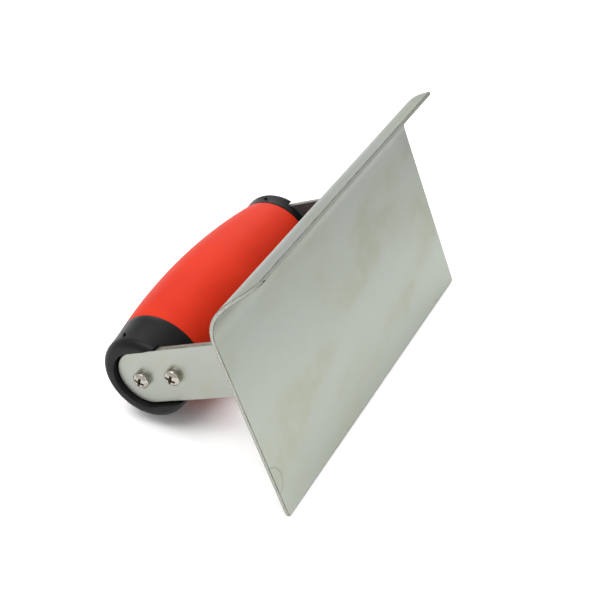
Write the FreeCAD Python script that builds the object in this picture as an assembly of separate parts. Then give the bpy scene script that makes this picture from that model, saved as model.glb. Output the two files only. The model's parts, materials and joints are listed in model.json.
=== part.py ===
import FreeCAD, Part
import math
import os

# Corner trowel: a folded steel blade, a U-shaped steel bracket spot-welded to the
# blade's back, and a barrel handle with black end caps, held by two screws at each end.
#
# Everything is drawn in the tool's own plane: "across" runs from the lip over the wide
# flange, "height" runs from the blade to the handle, and "along" is the blade's length.
# place() then lays the tool down on the long free edge of its blade and on its grip.

# --- Blade (mm) ---
BLADE_LENGTH = 152.0        # 6 inch blade
FLANGE_WIDTH = 83.0         # wide flange, from the inner corner to its long free edge
SHEET = 1.5                 # blade sheet
LIP_DEPTH = 16.1            # lip, from the inner corner to its free edge
LIP_SPLAY = 8.9             # degrees that the lip opens past square
BEND_OUTER_RADIUS = 15.3
LIP_CORNER_RADIUS = 16.0    # rounded corner at the lip's near end
EDGE_CORNER_RADIUS = 1.2    # two corners of the wide flange

# --- Bracket (mm) ---
STRAP_WIDTH = 22.8
STRAP = 2.5
STRAP_LEAN = 5.1            # degrees that the arms lean away from the lip
ARM_INSET = 22.4            # blade's near end to the near arm's outer face
FAR_ARM_INSET = 21.8        # the same at the far end
ARM_BEND_OUTER = 4.5
ARM_BEND_INNER = 2.0
LEAN_START = 1.0            # above the bend, where an arm starts to lean

# --- Handle (mm) ---
HANDLE_ACROSS = 41.3        # handle axis, across the blade
HANDLE_HEIGHT = 61.3        # handle axis above the blade's working face
BARREL_RADIUS = 21.6        # at its fullest
BARREL_FULLEST = 74.0       # where that is, along the blade
BARREL_CURVE = 273.0        # radius of the barrel's side
NEAR_JOINT = 35.8           # where the grip meets each cap, along the blade
FAR_JOINT = 124.2
CORE_RADIUS = 13.0
CAP_RADII = {"near": 17.4, "far": 17.2}
CAP_PROUD = {"near": 1.9, "far": 1.2}   # cap rim beyond the arm's outer face
CAP_EDGE_ROUNDS = {"near": 3.2, "far": 2.0}
CAP_WAIST = 0.15            # how far a cap's side dips between its rim and the grip
CAP_SPIGOT = 8.0            # length of each cap's spigot under the grip
STRAP_GAP = 0.7             # shadow gap round the arm's end in its cap
MARK_LENGTH, MARK_WIDTH, MARK_DEPTH = 3.2, 1.3, 0.9
MARK_FROM_END = 4.9         # centre of the latch mark, from the cap's end face
MARK_SLANT = 40             # degrees that the mark is turned from the blade's length
MARK_TURN = {"near": 9, "far": -5}      # degrees round the handle, from the lip's side

# --- Screws (mm) ---
SCREW_HEIGHTS = {"outer": 61.5, "inner": 46.1}   # above the working face
HEAD_RADIUS = 3.3
HEAD_HEIGHT = 2.9
HEAD_RIM = 1.8              # straight side of the pan head
DOME_SHARE = 0.78           # share of the dome's rise reached at DOME_REACH of the radius
DOME_REACH = 0.72
SHANK_RADIUS = 1.6
SHANK_LENGTH = 12.0
POINT_RADIUS = 0.3
CROSS_LENGTH, CROSS_WIDTH, CROSS_DEPTH = 4.1, 1.15, 1.8
CROSS_TURNS = (35, 125)     # degrees of the two slots of the cross
SPARE = 1.0                 # how far a cutting shape passes beyond what it cuts

# --- Derived ---
SPLAY = math.radians(LIP_SPLAY)
LEAN = math.tan(math.radians(STRAP_LEAN))
BEND_INNER_RADIUS = BEND_OUTER_RADIUS - SHEET
BEND_START = BEND_INNER_RADIUS * math.tan((math.pi / 2 - SPLAY) / 2)
MIDDLE = BLADE_LENGTH / 2
FOOT_TOP = SHEET + ARM_BEND_OUTER + LEAN_START
NEAR_ARM = ARM_INSET
FAR_ARM = BLADE_LENGTH - FAR_ARM_INSET
LIP_DIRECTION = (-math.sin(SPLAY), -math.cos(SPLAY))
LIP_OUTWARD = (-math.cos(SPLAY), math.sin(SPLAY))

# Rest: the line from the blade's back edge that just touches the barrel's middle.
EDGE_TO_AXIS = (HANDLE_ACROSS - FLANGE_WIDTH, HANDLE_HEIGHT - SHEET)
REST_ANGLE = math.atan2(EDGE_TO_AXIS[1], EDGE_TO_AXIS[0]) - math.asin(
    BARREL_RADIUS / math.hypot(*EDGE_TO_AXIS))
REST_COS, REST_SIN = math.sin(REST_ANGLE), -math.cos(REST_ANGLE)


def lie(across, height):
    """Sideways and up coordinates, before centring, of a point in the tool's plane."""
    return REST_SIN * across - REST_COS * height, -REST_COS * across - REST_SIN * height


LIP_TIP = (LIP_DEPTH * LIP_DIRECTION[0], LIP_DEPTH * LIP_DIRECTION[1])
FLOOR = lie(FLANGE_WIDTH, SHEET)[1]
SIDE_HIGH = lie(FLANGE_WIDTH, 0)[0]
SIDE_LOW = lie(HANDLE_ACROSS, HANDLE_HEIGHT)[0] - BARREL_RADIUS
SIDE_CENTRE = (SIDE_HIGH + SIDE_LOW) / 2


def point(along, across, height):
    """A point in the drawing frame: X along, Y across, Z height."""
    return FreeCAD.Vector(along, across, height)


def place(shape):
    """Turn a shape from the drawing frame to its rest on the blade's edge and the grip."""
    turn = FreeCAD.Matrix(
        0, REST_SIN, -REST_COS, -SIDE_CENTRE,
        1, 0, 0, -MIDDLE,
        0, -REST_COS, -REST_SIN, -FLOOR,
        0, 0, 0, 1)
    return shape.transformed(turn, True)


def centre_line(height):
    """Across position of the leaning arm's centre line."""
    return HANDLE_ACROSS + LEAN * (height - HANDLE_HEIGHT)


def arc(start, middle, end):
    return Part.Arc(start, middle, end).toShape()


def bend_arc(radius, along):
    """The bend's quarter-turn at a radius, from the flange to the lip."""
    def on_arc(share):
        angle = share * (math.pi / 2 - SPLAY)
        return point(along, BEND_START - radius * math.sin(angle),
                     -BEND_INNER_RADIUS + radius * math.cos(angle))
    return [on_arc(share) for share in (0, 0.5, 1)]


def make_blade():
    inner = bend_arc(BEND_INNER_RADIUS, 0)
    outer = bend_arc(BEND_OUTER_RADIUS, 0)
    tip_inner = point(0, *LIP_TIP)
    tip_outer = point(0, LIP_TIP[0] + SHEET * LIP_OUTWARD[0], LIP_TIP[1] + SHEET * LIP_OUTWARD[1])
    edge_front = point(0, FLANGE_WIDTH, 0)
    edge_back = point(0, FLANGE_WIDTH, SHEET)
    line = Part.makeLine
    outline = Part.Wire([
        line(edge_front, inner[0]), arc(*inner), line(inner[2], tip_inner),
        line(tip_inner, tip_outer), line(tip_outer, outer[2]),
        arc(outer[2], outer[1], outer[0]), line(outer[0], edge_back), line(edge_back, edge_front)])
    blade = Part.Face(outline).extrude(point(BLADE_LENGTH, 0, 0))
    blade = blade.cut(lip_corner())
    corners = [edge for edge in blade.Edges
               if abs(edge.BoundBox.YMin - FLANGE_WIDTH) < 0.01
               and edge.BoundBox.ZLength > SHEET - 0.01]
    return blade.makeFillet(EDGE_CORNER_RADIUS, corners)


def lip_corner():
    """What the rounded corner takes off the lip's near end."""
    low = LIP_TIP[1] - SHEET
    centre_height = LIP_TIP[1] + LIP_CORNER_RADIUS
    reach = BEND_OUTER_RADIUS
    block = Part.makeBox(LIP_CORNER_RADIUS, reach + BEND_START, centre_height - low,
                         point(0, -reach, low))
    round_bar = Part.makeCylinder(LIP_CORNER_RADIUS, reach + BEND_START,
                                  point(LIP_CORNER_RADIUS, -reach, centre_height), point(0, 1, 0))
    return block.cut(round_bar)


def arm_face(along, grow, foot):
    """An arm's outline: leaning sides and a full round end, grown by a gap."""
    half = STRAP_WIDTH / 2 + grow
    top = HANDLE_HEIGHT
    top_left = point(along, centre_line(top) - half, top)
    top_right = point(along, centre_line(top) + half, top)
    foot_left = point(along, centre_line(foot) - half, foot)
    foot_right = point(along, centre_line(foot) + half, foot)
    crown = point(along, centre_line(top), top + half)
    return Part.Face(Part.Wire([
        Part.makeLine(foot_left, top_left), arc(top_left, crown, top_right),
        Part.makeLine(top_right, foot_right), Part.makeLine(foot_right, foot_left)]))


def make_bracket():
    """Flat base along the blade's back, a bend at each end, and two leaning arms."""
    trough = rounded_block(NEAR_ARM, FAR_ARM, SHEET, ARM_BEND_OUTER)
    hollow = rounded_block(NEAR_ARM + STRAP, FAR_ARM - STRAP, SHEET + STRAP, ARM_BEND_INNER)
    arms = [arm_face(along, 0, FOOT_TOP).extrude(point(STRAP, 0, 0))
            for along in (NEAR_ARM, FAR_ARM - STRAP)]
    bracket = trough.cut(hollow).fuse(arms).removeSplitter()
    for along, direction in ((NEAR_ARM, 1), (FAR_ARM, -1)):
        for height in SCREW_HEIGHTS.values():
            bracket = bracket.cut(Part.makeCylinder(
                SHANK_RADIUS, STRAP, point(along, centre_line(height), height),
                point(direction, 0, 0)))
    return bracket


def rounded_block(start, end, bottom, radius):
    """A block as wide as the strap, its two bottom edges across the strap rounded."""
    block = Part.makeBox(end - start, STRAP_WIDTH, FOOT_TOP - bottom,
                         point(start, centre_line(FOOT_TOP) - STRAP_WIDTH / 2, bottom))
    edges = [edge for edge in block.Edges
             if edge.BoundBox.YLength > STRAP_WIDTH - 0.5 and edge.BoundBox.ZMax < bottom + 0.01]
    return block.makeFillet(radius, edges)


def barrel_radius(along):
    offset = along - BARREL_FULLEST
    return BARREL_RADIUS - BARREL_CURVE + math.sqrt(BARREL_CURVE ** 2 - offset ** 2)


def turned(edges):
    """A solid turned about the handle's axis from edges that end on the axis."""
    axis = point(0, HANDLE_ACROSS, HANDLE_HEIGHT)
    return Part.Face(Part.Wire(edges)).revolve(axis, point(1, 0, 0), 360)


def rim_point(along, radius):
    return point(along, HANDLE_ACROSS, HANDLE_HEIGHT + radius)


def make_grip():
    middle = (NEAR_JOINT + FAR_JOINT) / 2
    start = rim_point(NEAR_JOINT, barrel_radius(NEAR_JOINT))
    end = rim_point(FAR_JOINT, barrel_radius(FAR_JOINT))
    inner_start = rim_point(NEAR_JOINT, CORE_RADIUS)
    inner_end = rim_point(FAR_JOINT, CORE_RADIUS)
    grip = turned([arc(start, rim_point(middle, barrel_radius(middle)), end),
                   Part.makeLine(end, inner_end), Part.makeLine(inner_end, inner_start),
                   Part.makeLine(inner_start, start)])
    return cut_shanks(grip)


def make_core():
    start = NEAR_JOINT + CAP_SPIGOT
    length = FAR_JOINT - CAP_SPIGOT - start
    return Part.makeCylinder(CORE_RADIUS, length,
                             point(start, HANDLE_ACROSS, HANDLE_HEIGHT), point(1, 0, 0))


def make_cap(side, arm, joint):
    """End cap: turned shell with a spigot, a slot for the arm and a small latch mark."""
    inward = 1 if joint > arm else -1
    radius, proud, rounding = CAP_RADII[side], CAP_PROUD[side], CAP_EDGE_ROUNDS[side]
    end = arm - inward * proud
    shoulder = end + inward * rounding
    quarter = rounding * (1 - math.sqrt(0.5))
    waist = (shoulder + joint) / 2
    waist_radius = (radius + barrel_radius(joint)) / 2 - CAP_WAIST
    inner = joint + inward * CAP_SPIGOT
    line = Part.makeLine
    cap = turned([
        line(rim_point(end, 0), rim_point(end, radius - rounding)),
        arc(rim_point(end, radius - rounding),
            rim_point(end + inward * quarter, radius - quarter),
            rim_point(shoulder, radius)),
        arc(rim_point(shoulder, radius), rim_point(waist, waist_radius),
            rim_point(joint, barrel_radius(joint))),
        line(rim_point(joint, barrel_radius(joint)), rim_point(joint, CORE_RADIUS)),
        line(rim_point(joint, CORE_RADIUS), rim_point(inner, CORE_RADIUS)),
        line(rim_point(inner, CORE_RADIUS), rim_point(inner, 0)),
        line(rim_point(inner, 0), rim_point(end, 0))])
    foot = HANDLE_HEIGHT - radius - SPARE
    slot = arm_face(end, STRAP_GAP, foot).extrude(point(inward * (proud + STRAP), 0, 0))
    mark = latch_mark(end + inward * MARK_FROM_END, radius, MARK_TURN[side])
    return cut_shanks(cap.cut(slot).cut(mark))


def latch_mark(along, radius, turn):
    """A short slanted slot sunk in a cap's side."""
    mark = Part.makeBox(MARK_LENGTH, MARK_DEPTH + SPARE, MARK_WIDTH,
                        point(-MARK_LENGTH / 2, -radius - SPARE, -MARK_WIDTH / 2))
    mark.rotate(FreeCAD.Vector(), point(0, 1, 0), -MARK_SLANT)
    mark.rotate(FreeCAD.Vector(), point(1, 0, 0), -turn)
    mark.translate(point(along, HANDLE_ACROSS, HANDLE_HEIGHT))
    return mark


def make_shank(arm, inward, height):
    """The threaded end, drawn as a plain rod from the head to its point."""
    start = point(arm, centre_line(height), height)
    rod = Part.makeCylinder(SHANK_RADIUS, SHANK_LENGTH - SHANK_RADIUS, start, point(inward, 0, 0))
    tip_start = point(arm + inward * (SHANK_LENGTH - SHANK_RADIUS), centre_line(height), height)
    tip = Part.makeCone(SHANK_RADIUS, POINT_RADIUS, SHANK_RADIUS, tip_start, point(inward, 0, 0))
    return rod.fuse(tip)


def cut_shanks(shape):
    for arm, inward in ((NEAR_ARM, 1), (FAR_ARM, -1)):
        for height in SCREW_HEIGHTS.values():
            shape = shape.cut(make_shank(arm, inward, height))
    return shape


def make_screw(arm, inward, height):
    """Pan-head screw with a cross recess."""
    def at(depth, radius):
        return point(arm - inward * depth, centre_line(height), height + radius)
    axis = at(0, 0)
    dome_middle = HEAD_RIM + (HEAD_HEIGHT - HEAD_RIM) * DOME_SHARE
    line = Part.makeLine
    profile = Part.Face(Part.Wire([
        line(at(0, 0), at(0, HEAD_RADIUS)), line(at(0, HEAD_RADIUS), at(HEAD_RIM, HEAD_RADIUS)),
        arc(at(HEAD_RIM, HEAD_RADIUS), at(dome_middle, HEAD_RADIUS * DOME_REACH), at(HEAD_HEIGHT, 0)),
        line(at(HEAD_HEIGHT, 0), at(0, 0))]))
    head = profile.revolve(axis, point(1, 0, 0), 360)
    recess_floor = HEAD_HEIGHT - CROSS_DEPTH
    start = min(arm - inward * (HEAD_HEIGHT + SPARE), arm - inward * recess_floor)
    for turn in CROSS_TURNS:
        slot = Part.makeBox(CROSS_DEPTH + SPARE, CROSS_WIDTH, CROSS_LENGTH,
                            point(0, -CROSS_WIDTH / 2, -CROSS_LENGTH / 2))
        slot.rotate(FreeCAD.Vector(), point(1, 0, 0), turn)
        slot.translate(point(start, centre_line(height), height))
        head = head.cut(slot)
    return head.fuse(make_shank(arm, inward, height)).removeSplitter()


def build():
    pieces = {
        "blade": make_blade(),
        "bracket": make_bracket(),
        "handle_core": make_core(),
        "grip_sleeve": make_grip(),
        "near_end_cap": make_cap("near", NEAR_ARM, NEAR_JOINT),
        "far_end_cap": make_cap("far", FAR_ARM, FAR_JOINT),
    }
    for end, arm, inward in (("near", NEAR_ARM, 1), ("far", FAR_ARM, -1)):
        for position, height in SCREW_HEIGHTS.items():
            pieces[f"{end}_{position}_screw"] = make_screw(arm, inward, height)
    return pieces


os.makedirs("parts", exist_ok=True)
for node, piece in build().items():
    shape = place(piece)
    box = shape.BoundBox
    print(f"{node}: solids {len(shape.Solids)}, valid {shape.isValid()}, volume {shape.Volume:.0f}, "
          f"x {box.XMin:.2f}..{box.XMax:.2f}, y {box.YMin:.2f}..{box.YMax:.2f}, "
          f"z {box.ZMin:.2f}..{box.ZMax:.2f}")
    shape.exportStep(f"parts/{node}.step")
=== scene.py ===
"""Looks of a drywall corner trowel: a bent steel blade, a strap bracket and a rubber-sleeved handle."""

import json
import math

import bmesh
import bpy
from mathutils import Matrix, Vector


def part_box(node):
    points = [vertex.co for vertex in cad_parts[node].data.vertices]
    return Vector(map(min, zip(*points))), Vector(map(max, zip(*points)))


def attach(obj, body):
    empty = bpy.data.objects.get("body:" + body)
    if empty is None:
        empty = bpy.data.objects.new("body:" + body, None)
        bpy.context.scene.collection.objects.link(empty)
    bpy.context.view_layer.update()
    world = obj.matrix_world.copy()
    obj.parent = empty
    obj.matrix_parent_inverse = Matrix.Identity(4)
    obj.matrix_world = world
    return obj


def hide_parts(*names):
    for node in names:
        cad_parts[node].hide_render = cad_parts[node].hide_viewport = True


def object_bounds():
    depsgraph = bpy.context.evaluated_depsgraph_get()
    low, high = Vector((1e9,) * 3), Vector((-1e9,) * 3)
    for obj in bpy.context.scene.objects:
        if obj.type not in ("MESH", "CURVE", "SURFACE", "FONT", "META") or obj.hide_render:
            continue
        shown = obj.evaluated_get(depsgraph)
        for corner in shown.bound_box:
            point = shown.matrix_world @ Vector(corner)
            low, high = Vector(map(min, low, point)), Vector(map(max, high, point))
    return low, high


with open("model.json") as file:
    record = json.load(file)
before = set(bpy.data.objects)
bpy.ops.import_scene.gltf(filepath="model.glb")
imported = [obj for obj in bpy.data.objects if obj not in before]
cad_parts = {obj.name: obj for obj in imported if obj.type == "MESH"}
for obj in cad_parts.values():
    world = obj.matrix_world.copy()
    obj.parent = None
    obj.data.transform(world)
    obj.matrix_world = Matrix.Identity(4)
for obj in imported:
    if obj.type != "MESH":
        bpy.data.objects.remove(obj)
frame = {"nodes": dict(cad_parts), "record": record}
CAD_LOW, CAD_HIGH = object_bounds()
MM = 0.001

# --- Camera: where it stands, its axes, and its lens on a 36 mm sensor.
CAMERA_PLACE = Vector((0.1989, -0.3278, 0.3085))
CAMERA_RIGHT = Vector((0.8883, 0.4560, -0.0557))
CAMERA_UP = Vector((-0.2308, 0.5479, 0.8040))
CAMERA_LENS = 73.35
SENSOR_WIDTH = 36
CAMERA_CLIP_START = 0.01

# --- Directions of the tool, taken from the blade's working face.
WORKING_FACE = frame["record"]["mounts"][0]
OUT_OF_FACE = Vector(WORKING_FACE["axis"])
ALONG = Vector((0, 1, 0))
ACROSS = ALONG.cross(OUT_OF_FACE)

# --- Edge softening of the metal and plastic pieces, in millimetres.
SHEET_EDGE = 0.24
STRAP_EDGE = 0.45
CAP_EDGE = 0.35
SCREW_EDGE = 0.12
SHARP_ANGLE = math.radians(32)
EDGE_SEGMENTS = 2

# --- Points closer than this are welded, in millimetres, and flatter joins are dissolved.
WELD = 0.002
FLAT_PIECE_WELD = 0.03
DISSOLVE_ANGLE = math.radians(0.2)
FLAT_FACE_WEIGHT = 100

# --- Grip.
GRIP_END_ROUND = 0.5
GRIP_END_STEPS = 6
GRIP_TURNS = 160
GRIP_STEPS = 56
GRIP_SHARP_ANGLE = math.radians(60)
RIM_SLACK = 0.05

# --- Dried drop on the blade, in millimetres from the working face's middle.
STAIN_ALONG = -77.0
STAIN_ACROSS = 19.5
STAIN_RADIUS = 5.6
STAIN_LINE = 0.12
STAIN_LINE_BLUR = 0.35

# --- Painted shade and painted light over the blade, and the stain ring's darkening, in the same millimetres: start and end of each change.
# Painted shade: the blade grows darker along a slant towards the lip and the far end.
PAINTED_SHADE_SLANT = -0.22
PAINTED_SHADE_SPAN = (-50.0, 34.0)
PAINTED_SHADE_DARKEST = 0.70
# Painted shade: a darker patch at the far end near the lip.
FAR_SHADE_ALONG = (62.0, 72.0)
FAR_SHADE_ACROSS = (-14.0, -34.0)
FAR_SHADE_DARKER = 0.07
RING_DARKER = 0.20
# Painted light: the lip strip is made lighter.
LIP_SPAN = (-44.0, -50.0)
LIP_PAINTED_LIGHT = 1.06

# --- Colours.
BLADE_CLEAN = (0.375, 0.400, 0.360, 1)
BLADE_FILM = (0.368, 0.386, 0.310, 1)
TEAR_DARK = (0.22, 0.225, 0.20, 1)
TEAR_LIGHT = (0.47, 0.475, 0.43, 1)
# Painted shade along the sheet's rounded edges.
RIM_DARK = (0.10, 0.10, 0.085, 1)
RIM_LIGHT = (0.20, 0.20, 0.17, 1)
STRAP_CLEAN = (0.335, 0.348, 0.316, 1)
STRAP_FILM = (0.332, 0.337, 0.272, 1)
STRAP_SIDE_DARK = (0.20, 0.18, 0.145, 1)
STRAP_SIDE_LIGHT = (0.34, 0.32, 0.28, 1)
RED_DARK = (0.49, 0.022, 0.006, 1)
RED_LIGHT = (0.53, 0.027, 0.008, 1)
PLASTIC_DARK = (0.0050, 0.0054, 0.0052, 1)
PLASTIC_LIGHT = (0.0078, 0.0082, 0.0080, 1)
NICKEL_LIGHT = (0.46, 0.44, 0.40, 1)
NICKEL_DARK = (0.36, 0.34, 0.29, 1)
# Brown dirt and painted shade in the screws' cross recesses.
RECESS_DIRT_AND_SHADE = (0.17, 0.125, 0.080, 1)

# --- Floor and light.
FLOOR_SIZE = 6.0
FLOOR_COLOUR = (0.94, 0.94, 0.94, 1)
WORLD_STRENGTH = 0.84
# Each light's name, place and size in metres, and power in watts.
LIGHTS = (
    ("key", (-0.25, -0.30, 1.5), 1.3, 18),
    ("fill", (1.2, -0.35, 0.9), 1.2, 7),
    ("rim", (-0.6, 1.1, 0.9), 1.0, 6),
)


# ---------------------------------------------------------------- shader helpers

class Material:
    """A node material whose small methods each add one node and return its output."""

    def __init__(self, name):
        self.data = bpy.data.materials.new(name)
        self.data.use_nodes = True
        self.tree = self.data.node_tree
        self.shader = self.tree.nodes["Principled BSDF"]

    def add(self, kind, **inputs):
        node = self.tree.nodes.new(kind)
        for name, value in inputs.items():
            self.feed(node.inputs[name.replace("_", " ")], value)
        return node

    def feed(self, socket, value):
        if isinstance(value, bpy.types.NodeSocket):
            self.tree.links.new(value, socket)
        else:
            socket.default_value = value

    def set(self, **inputs):
        for name, value in inputs.items():
            self.feed(self.shader.inputs[name.replace("_", " ")], value)

    def place(self):
        """Position on the piece, in metres."""
        return self.add("ShaderNodeTexCoord").outputs["Object"]

    def facing(self):
        """The surface's own direction."""
        return self.add("ShaderNodeTexCoord").outputs["Normal"]

    def part_along(self, vector, axis):
        """The part of a vector that lies along an axis."""
        node = self.tree.nodes.new("ShaderNodeVectorMath")
        node.operation = "DOT_PRODUCT"
        self.feed(node.inputs[0], vector)
        node.inputs[1].default_value = axis
        return node.outputs["Value"]

    def join(self, x, y, z):
        return self.add("ShaderNodeCombineXYZ", X=x, Y=y, Z=z).outputs["Vector"]

    def sum(self, operation, a, b=0.0, c=0.0):
        node = self.tree.nodes.new("ShaderNodeMath")
        node.operation = operation
        for socket, value in zip(node.inputs, (a, b, c)):
            self.feed(socket, value)
        return node.outputs["Value"]

    def scaled(self, colour, factor):
        """A colour made lighter or darker by a factor."""
        return self.add("ShaderNodeHueSaturation", Color=colour, Value=factor).outputs["Color"]

    def noise(self, vector, scale, detail=3.0, roughness=0.5, distortion=0.0):
        return self.add("ShaderNodeTexNoise", Vector=vector, Scale=scale, Detail=detail,
                        Roughness=roughness, Distortion=distortion).outputs["Fac"]

    def step(self, value, start, end, low=0.0, high=1.0):
        """Smooth change from low to high while the value goes from start to end."""
        node = self.tree.nodes.new("ShaderNodeMapRange")
        node.interpolation_type = "SMOOTHSTEP"
        for name, number in (("Value", value), ("From Min", start), ("From Max", end),
                             ("To Min", low), ("To Max", high)):
            self.feed(node.inputs[name], number)
        return node.outputs["Result"]

    def band(self, value, centre, half_width, softness):
        """1 within half_width of the centre, and 0 a softness further out."""
        away = self.sum("ABSOLUTE", self.sum("SUBTRACT", value, centre))
        return self.step(away, half_width, half_width + softness, 1.0, 0.0)

    def mix(self, share, first, second):
        node = self.tree.nodes.new("ShaderNodeMix")
        node.data_type = "RGBA"
        self.feed(node.inputs["Factor"], share)
        self.feed(node.inputs["A"], first)
        self.feed(node.inputs["B"], second)
        return node.outputs["Result"]

    def bump(self, height, strength, distance):
        node = self.add("ShaderNodeBump", Height=height, Strength=strength, Distance=distance)
        self.feed(self.shader.inputs["Normal"], node.outputs["Normal"])


def grey(value):
    return (value, value, value, 1)


# ---------------------------------------------------------------- materials

def tool_coordinates(material):
    """Position along and across the blade and out of its face, in millimetres from its middle."""
    middle = Vector(WORKING_FACE["pos_m"])
    place = material.place()
    parts = []
    for axis in (ALONG, ACROSS, OUT_OF_FACE):
        value = material.part_along(place, axis)
        parts.append(material.sum("MULTIPLY_ADD", value, 1 / MM, -middle.dot(axis) / MM))
    return parts


def steel_base(m, clean, film_colour, film, grain_vector):
    """Rolled sheet steel: a clean colour, a yellowish film over it, and fine rolling grain."""
    grain = m.noise(grain_vector, 1.0, 4.0, 0.65)
    speckle = m.noise(m.place(), 1400.0, 2.0, 0.6)
    shade = m.sum("ADD", m.step(grain, 0.25, 0.75, 0.982, 1.018),
                  m.step(speckle, 0.3, 0.7, -0.012, 0.012))
    return m.scaled(m.mix(film, clean, film_colour), shade), grain, speckle


def torn_edge(m, along, across, out):
    """Colour of a sheared edge: light and dark tears across the sheet's thickness."""
    tears = m.noise(m.join(along, across, m.sum("MULTIPLY", out, 2.5)), 2.2, 3.0, 0.7)
    return m.mix(m.step(tears, 0.35, 0.65), TEAR_DARK, TEAR_LIGHT)


def drip_stain(m, along, across):
    """Thin curved line that a dried drop left near the blade's near edge."""
    aside = m.sum("SUBTRACT", along, STAIN_ALONG)
    below = m.sum("SUBTRACT", across, STAIN_ACROSS)
    away = m.sum("SQRT", m.sum("ADD", m.sum("MULTIPLY", aside, aside),
                               m.sum("MULTIPLY", below, below)))
    ring = m.band(away, STAIN_RADIUS, STAIN_LINE, STAIN_LINE_BLUR)
    inside = m.step(away, STAIN_RADIUS - 0.8, STAIN_RADIUS, 1.0, 0.0)
    return ring, inside


def blade_material():
    """Dull rolled steel with an oily yellow film, a drip stain, raw sheared edges, and painted shade
    and painted light over the face.
    """
    m = Material("blade_steel")
    along, across, out = tool_coordinates(m)
    flat = m.join(along, across, out)
    stretched = m.join(m.sum("MULTIPLY", along, 0.22), m.sum("MULTIPLY", across, 2.6),
                       m.sum("MULTIPLY", out, 2.6))
    smear = m.join(m.sum("ADD", along, across), m.sum("MULTIPLY", across, 2.0), out)

    cloud = m.noise(smear, 0.020, 3.0, 0.5, 0.3)
    blotch = m.noise(flat, 0.10, 5.0, 0.62, 0.4)
    ring, inside = drip_stain(m, along, across)
    film = m.sum("MULTIPLY", m.step(cloud, 0.42, 0.62), m.step(blotch, 0.34, 0.62, 0.3, 0.9))
    film = m.sum("MAXIMUM", film, m.sum("MULTIPLY", inside, 0.55))
    colour, grain, speckle = steel_base(m, BLADE_CLEAN, BLADE_FILM, film, stretched)

    # Painted shade towards the lip and the far end, a painted darker patch at the far end, the stain
    # ring's real darkening, and painted light on the lip strip.
    slanted = m.sum("MULTIPLY_ADD", along, PAINTED_SHADE_SLANT, across)
    painted_shading_and_stain = m.step(slanted, *PAINTED_SHADE_SPAN, PAINTED_SHADE_DARKEST, 1.0)
    far_shade = m.sum("MULTIPLY", m.step(along, *FAR_SHADE_ALONG), m.step(across, *FAR_SHADE_ACROSS))
    painted_shading_and_stain = m.sum("SUBTRACT", painted_shading_and_stain, m.sum("MULTIPLY", far_shade, FAR_SHADE_DARKER))
    painted_shading_and_stain = m.sum("SUBTRACT", painted_shading_and_stain, m.sum("MULTIPLY", ring, RING_DARKER))
    painted_shading_and_stain = m.sum("MULTIPLY", painted_shading_and_stain, m.step(across, *LIP_SPAN, 1.0, LIP_PAINTED_LIGHT))
    colour = m.scaled(colour, painted_shading_and_stain)

    facing = m.facing()
    raw_end = m.step(m.sum("ABSOLUTE", m.part_along(facing, ALONG)), 0.5, 0.8)
    raw_side = m.step(m.part_along(facing, ACROSS), 0.5, 0.8)
    raw = m.sum("MAXIMUM", raw_end, raw_side)
    m.set(Base_Color=m.mix(raw, colour, torn_edge(m, along, across, out)), Metallic=1.0,
          Roughness=m.sum("MULTIPLY_ADD", film, 0.08, m.step(grain, 0.3, 0.7, 0.36, 0.46)))
    m.bump(m.sum("MULTIPLY_ADD", speckle, 0.6, grain), 0.12, 0.02 * MM)
    return m.data


def rim_material(name, dark, light):
    """Rolled-over rim of a sheared sheet, darkened as painted shade along the edge."""
    m = Material(name)
    dark_pattern = m.noise(m.place(), 260.0, 4.0, 0.65)
    # Painted shade: the rim's dark colours stand for the shadow line along the sheet's edge.
    m.set(Base_Color=m.mix(m.step(dark_pattern, 0.35, 0.65), dark, light), Metallic=0.7, Roughness=0.5)
    m.bump(dark_pattern, 0.2, 0.02 * MM)
    return m.data


def bracket_material():
    """Thicker strap steel with grain along the strap, brownish sides and inner faces darkened as
    painted shade.
    """
    m = Material("bracket_steel")
    along, across, out = tool_coordinates(m)
    stretched = m.join(m.sum("MULTIPLY", along, 1.6), m.sum("MULTIPLY", across, 1.6),
                       m.sum("MULTIPLY", out, 0.25))
    film = m.step(m.noise(m.join(along, across, out), 0.09, 4.0, 0.6, 0.6), 0.42, 0.7, 0.0, 0.8)
    colour, grain, speckle = steel_base(m, STRAP_CLEAN, STRAP_FILM, film, stretched)
    facing = m.facing()
    side = m.step(m.sum("ABSOLUTE", m.part_along(facing, ACROSS)), 0.5, 0.8)
    streaks = m.step(grain, 0.35, 0.65)
    side_colour = m.mix(streaks, STRAP_SIDE_DARK, STRAP_SIDE_LIGHT)
    colour = m.mix(side, colour, side_colour)
    # Painted shade: the arms' inner faces are made near-black, less metallic and rougher.
    inward = m.sum("MULTIPLY", m.part_along(facing, ALONG), m.step(along, -1.0, 1.0, -1.0, 1.0))
    inner = m.step(inward, -0.5, -0.8)
    colour = m.mix(inner, colour, m.mix(streaks, grey(0.045), grey(0.075)))
    m.set(Base_Color=colour, Metallic=m.sum("MULTIPLY_ADD", inner, -0.75, 1.0),
          Roughness=m.sum("MULTIPLY_ADD", inner, 0.2, m.step(grain, 0.3, 0.7, 0.34, 0.44)))
    m.bump(m.sum("ADD", grain, speckle), 0.12, 0.02 * MM)
    return m.data


def rubber_material():
    """Soft-touch red rubber with a fine moulded grain and slight handling marks."""
    m = Material("red_rubber")
    place = m.place()
    patches = m.noise(place, 38.0, 3.0, 0.5, 0.4)
    grain = m.noise(place, 2600.0, 2.0, 0.6)
    colour = m.mix(m.step(patches, 0.35, 0.65), RED_DARK, RED_LIGHT)
    m.set(Base_Color=colour, Roughness=m.step(patches, 0.3, 0.7, 0.46, 0.56),
          Specular_IOR_Level=0.08)
    m.bump(grain, 0.16, 0.03 * MM)
    return m.data


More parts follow.
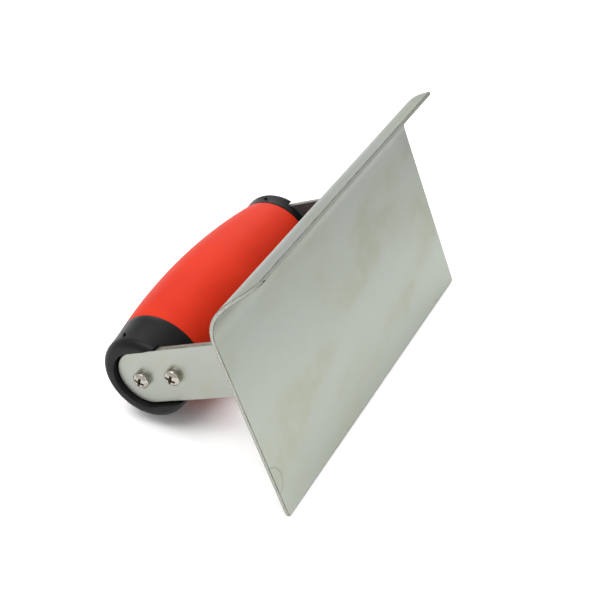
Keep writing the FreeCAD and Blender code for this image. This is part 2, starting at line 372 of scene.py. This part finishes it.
def plastic_material():
    """Near-black moulded plastic with a satin skin."""
    m = Material("black_plastic")
    place = m.place()
    patches = m.noise(place, 60.0, 3.0, 0.55, 0.3)
    grain = m.noise(place, 1900.0, 3.0, 0.65)
    colour = m.mix(patches, PLASTIC_DARK, PLASTIC_LIGHT)
    m.set(Base_Color=colour, Roughness=m.step(patches, 0.3, 0.7, 0.34, 0.44),
          Specular_IOR_Level=0.12)
    m.bump(grain, 0.2, 0.04 * MM)
    return m.data


def core_material():
    """Unfinished plastic of the hidden core."""
    m = Material("core_plastic")
    grain = m.noise(m.place(), 900.0, 3.0, 0.6)
    m.set(Base_Color=m.mix(grain, grey(0.03), grey(0.05)), Roughness=0.6)
    m.bump(grain, 0.2, 0.05 * MM)
    return m.data


def screw_material(node):
    """Bright nickel plate, with brown dirt and painted shade down in the cross recess."""
    m = Material(f"nickel_{node}")
    low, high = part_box(node)
    centre = (low + high) / 2
    near = centre.y < 0
    top = low.y if near else high.y
    inward = 1 if near else -1
    place = m.place()
    x = m.sum("MULTIPLY_ADD", m.part_along(place, (1, 0, 0)), 1 / MM, -centre.x / MM)
    z = m.sum("MULTIPLY_ADD", m.part_along(place, (0, 0, 1)), 1 / MM, -centre.z / MM)
    depth = m.sum("MULTIPLY_ADD", m.part_along(place, (0, inward, 0)), 1 / MM,
                  -top * inward / MM)
    radius_squared = m.sum("ADD", m.sum("MULTIPLY", x, x), m.sum("MULTIPLY", z, z))
    dome = m.sum("MULTIPLY", radius_squared, 0.10)
    # Brown dirt and painted shade down in the cross recess: a darker, less metallic colour there.
    recess = m.step(m.sum("SUBTRACT", depth, dome), 0.12, 0.55)
    in_head = m.step(radius_squared, 5.2, 6.4, 1.0, 0.0)
    dark_pattern = m.sum("MULTIPLY", recess, in_head)
    wear = m.noise(place, 700.0, 3.0, 0.6)
    plate = m.mix(m.step(wear, 0.35, 0.7), NICKEL_LIGHT, NICKEL_DARK)
    m.set(Base_Color=m.mix(dark_pattern, plate, RECESS_DIRT_AND_SHADE),
          Metallic=m.sum("MULTIPLY_ADD", dark_pattern, -0.5, 1.0),
          Roughness=m.step(wear, 0.3, 0.7, 0.18, 0.30))
    m.bump(wear, 0.1, 0.02 * MM)
    return m.data


def floor_material():
    """Even, matt and pale."""
    m = Material("studio_floor")
    m.set(Base_Color=FLOOR_COLOUR, Roughness=0.9, Specular_IOR_Level=0.1)
    return m.data


# ---------------------------------------------------------------- pieces

def add_piece(name, mesh, node):
    """A smooth-shaded piece put in a CAD node's place on the root body, with the node hidden."""
    for polygon in mesh.polygons:
        polygon.use_smooth = True
    piece = bpy.data.objects.new(name, mesh)
    bpy.context.scene.collection.objects.link(piece)
    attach(piece, "root")
    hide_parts(node)
    return piece


def softened(node, width, materials, flat=False):
    """A copy of a CAD node with welded faces and every sharp edge slightly rounded.

    The first material is the piece's own, and the last one is that of its rounded edges.
    A piece with large flat faces keeps them flat in shading, and its rounding isn't
    clamped, because one very short edge would then shrink it everywhere.
    """
    mesh = frame["nodes"][node].data.copy()
    mesh.materials.clear()
    for material in materials:
        mesh.materials.append(material)
    work = bmesh.new()
    work.from_mesh(mesh)
    weld = FLAT_PIECE_WELD if flat else WELD
    bmesh.ops.remove_doubles(work, verts=work.verts, dist=weld * MM)
    bmesh.ops.dissolve_limit(work, angle_limit=DISSOLVE_ANGLE, verts=work.verts,
                             edges=work.edges)
    work.to_mesh(mesh)
    work.free()
    piece = add_piece(f"{node}_finished", mesh, node)
    bevel = piece.modifiers.new("edges", "BEVEL")
    bevel.width = width * MM
    bevel.segments = EDGE_SEGMENTS
    bevel.limit_method = "ANGLE"
    bevel.angle_limit = SHARP_ANGLE
    bevel.material = len(materials) - 1
    bevel.use_clamp_overlap = not flat
    bevel.loop_slide = not flat
    if flat:
        piece.modifiers.new("flat_faces", "WEIGHTED_NORMAL").weight = FLAT_FACE_WEIGHT
    return piece


def rim_radius(node, place):
    """Largest distance from the node's axis among its points at a place along Y."""
    low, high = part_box(node)
    axis = (low + high) / 2
    vertices = frame["nodes"][node].data.vertices
    points = [v.co for v in vertices if abs(v.co.y - place) < RIM_SLACK * MM]
    return max(math.hypot(p.x - axis.x, p.z - axis.z) for p in points)


def grip_profile():
    """Along and radius pairs of the grip's outside, its two ends rounded, in metres."""
    low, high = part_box("grip_sleeve")
    full_radius = (high.x - low.x) / 2
    near_drop = full_radius - rim_radius("grip_sleeve", low.y)
    far_drop = full_radius - rim_radius("grip_sleeve", high.y)
    near_share = math.sqrt(near_drop) / (math.sqrt(near_drop) + math.sqrt(far_drop))
    fullest = low.y + (high.y - low.y) * near_share
    curve = ((fullest - low.y) ** 2 + near_drop ** 2) / (2 * near_drop)
    rounding = GRIP_END_ROUND * MM
    profile = []
    for step in range(GRIP_STEPS + 1):
        place = low.y + (high.y - low.y) * step / GRIP_STEPS
        radius = full_radius - curve + math.sqrt(curve ** 2 - (place - fullest) ** 2)
        profile.append((place, radius))
    inside = [point for point in profile if low.y + rounding < point[0] < high.y - rounding]
    return (rounded_end(profile[0], rounding, 1) + inside
            + rounded_end(profile[-1], rounding, -1)[::-1])


def rounded_end(corner, rounding, inward):
    """Points of the quarter circle that rounds a profile's end, from the end face outwards."""
    place, radius = corner
    points = []
    for step in range(GRIP_END_STEPS):
        angle = math.pi / 2 * step / GRIP_END_STEPS
        points.append((place + inward * rounding * (1 - math.cos(angle)),
                       radius - rounding * (1 - math.sin(angle))))
    return points


def make_grip(material):
    """The sleeve turned round the handle's axis: rounded outside and a straight bore."""
    low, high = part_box("grip_sleeve")
    centre = (low + high) / 2
    bore = (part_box("handle_core")[1].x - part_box("handle_core")[0].x) / 2
    outside = grip_profile()
    loop = [(low.y, bore)] + outside + [(high.y, bore)]
    work = bmesh.new()
    rings = []
    for place, radius in loop:
        ring = []
        for turn in range(GRIP_TURNS):
            angle = math.tau * turn / GRIP_TURNS
            ring.append(work.verts.new((centre.x + radius * math.cos(angle), place,
                                        centre.z + radius * math.sin(angle))))
        rings.append(ring)
    for ring, following in zip(rings, rings[1:] + rings[:1]):
        for turn in range(GRIP_TURNS):
            after = (turn + 1) % GRIP_TURNS
            work.faces.new((ring[turn], following[turn], following[after], ring[after]))
    bmesh.ops.recalc_face_normals(work, faces=work.faces)
    mesh = bpy.data.meshes.new("grip_sleeve_turned")
    work.to_mesh(mesh)
    work.free()
    mesh.materials.append(material)
    mesh.set_sharp_from_angle(angle=GRIP_SHARP_ANGLE)
    return add_piece("grip_sleeve_turned", mesh, "grip_sleeve")


def studio():
    """Pale floor, even surroundings and three large soft lights."""
    work = bmesh.new()
    bmesh.ops.create_grid(work, x_segments=1, y_segments=1, size=FLOOR_SIZE / 2)
    mesh = bpy.data.meshes.new("floor")
    work.to_mesh(mesh)
    work.free()
    mesh.materials.append(floor_material())
    floor = bpy.data.objects.new("floor", mesh)
    bpy.context.scene.collection.objects.link(floor)

    world = bpy.data.worlds.new("surroundings")
    world.use_nodes = True
    world.node_tree.nodes["Background"].inputs["Color"].default_value = grey(1)
    world.node_tree.nodes["Background"].inputs["Strength"].default_value = WORLD_STRENGTH
    bpy.context.scene.world = world
    bpy.context.scene.view_settings.view_transform = "Standard"
    for light in LIGHTS:
        soft_light(*light)


def soft_light(name, place, size, power):
    """A round light that faces the middle of the tool."""
    light = bpy.data.lights.new(name, "AREA")
    light.shape = "DISK"
    light.size = size
    light.energy = power
    lamp = bpy.data.objects.new(name, light)
    lamp.location = place
    middle = (CAD_LOW + CAD_HIGH) / 2
    lamp.rotation_euler = (middle - Vector(place)).to_track_quat("-Z", "Y").to_euler()
    bpy.context.scene.collection.objects.link(lamp)


def camera():
    """The view that the photograph was taken from."""
    data = bpy.data.cameras.new("camera")
    data.sensor_width = SENSOR_WIDTH
    data.lens = CAMERA_LENS
    data.clip_start = CAMERA_CLIP_START
    seat = bpy.data.objects.new("camera", data)
    columns = Matrix((CAMERA_RIGHT, CAMERA_UP, CAMERA_RIGHT.cross(CAMERA_UP))).transposed()
    seat.matrix_world = Matrix.Translation(CAMERA_PLACE) @ columns.to_4x4()
    bpy.context.scene.collection.objects.link(seat)
    bpy.context.scene.camera = seat


camera()
studio()
plastic = plastic_material()
sheet_rim = rim_material("sheet_rim", RIM_DARK, RIM_LIGHT)
softened("blade", SHEET_EDGE, [blade_material(), sheet_rim], flat=True)
softened("bracket", STRAP_EDGE, [bracket_material()], flat=True)
for cap in ("near_end_cap", "far_end_cap"):
    softened(cap, CAP_EDGE, [plastic])
for end in ("near", "far"):
    for position in ("outer", "inner"):
        screw = f"{end}_{position}_screw"
        softened(screw, SCREW_EDGE, [screw_material(screw)])
make_grip(rubber_material())
core_mesh = frame["nodes"]["handle_core"].data
core_mesh.materials.clear()
core_mesh.materials.append(core_material())
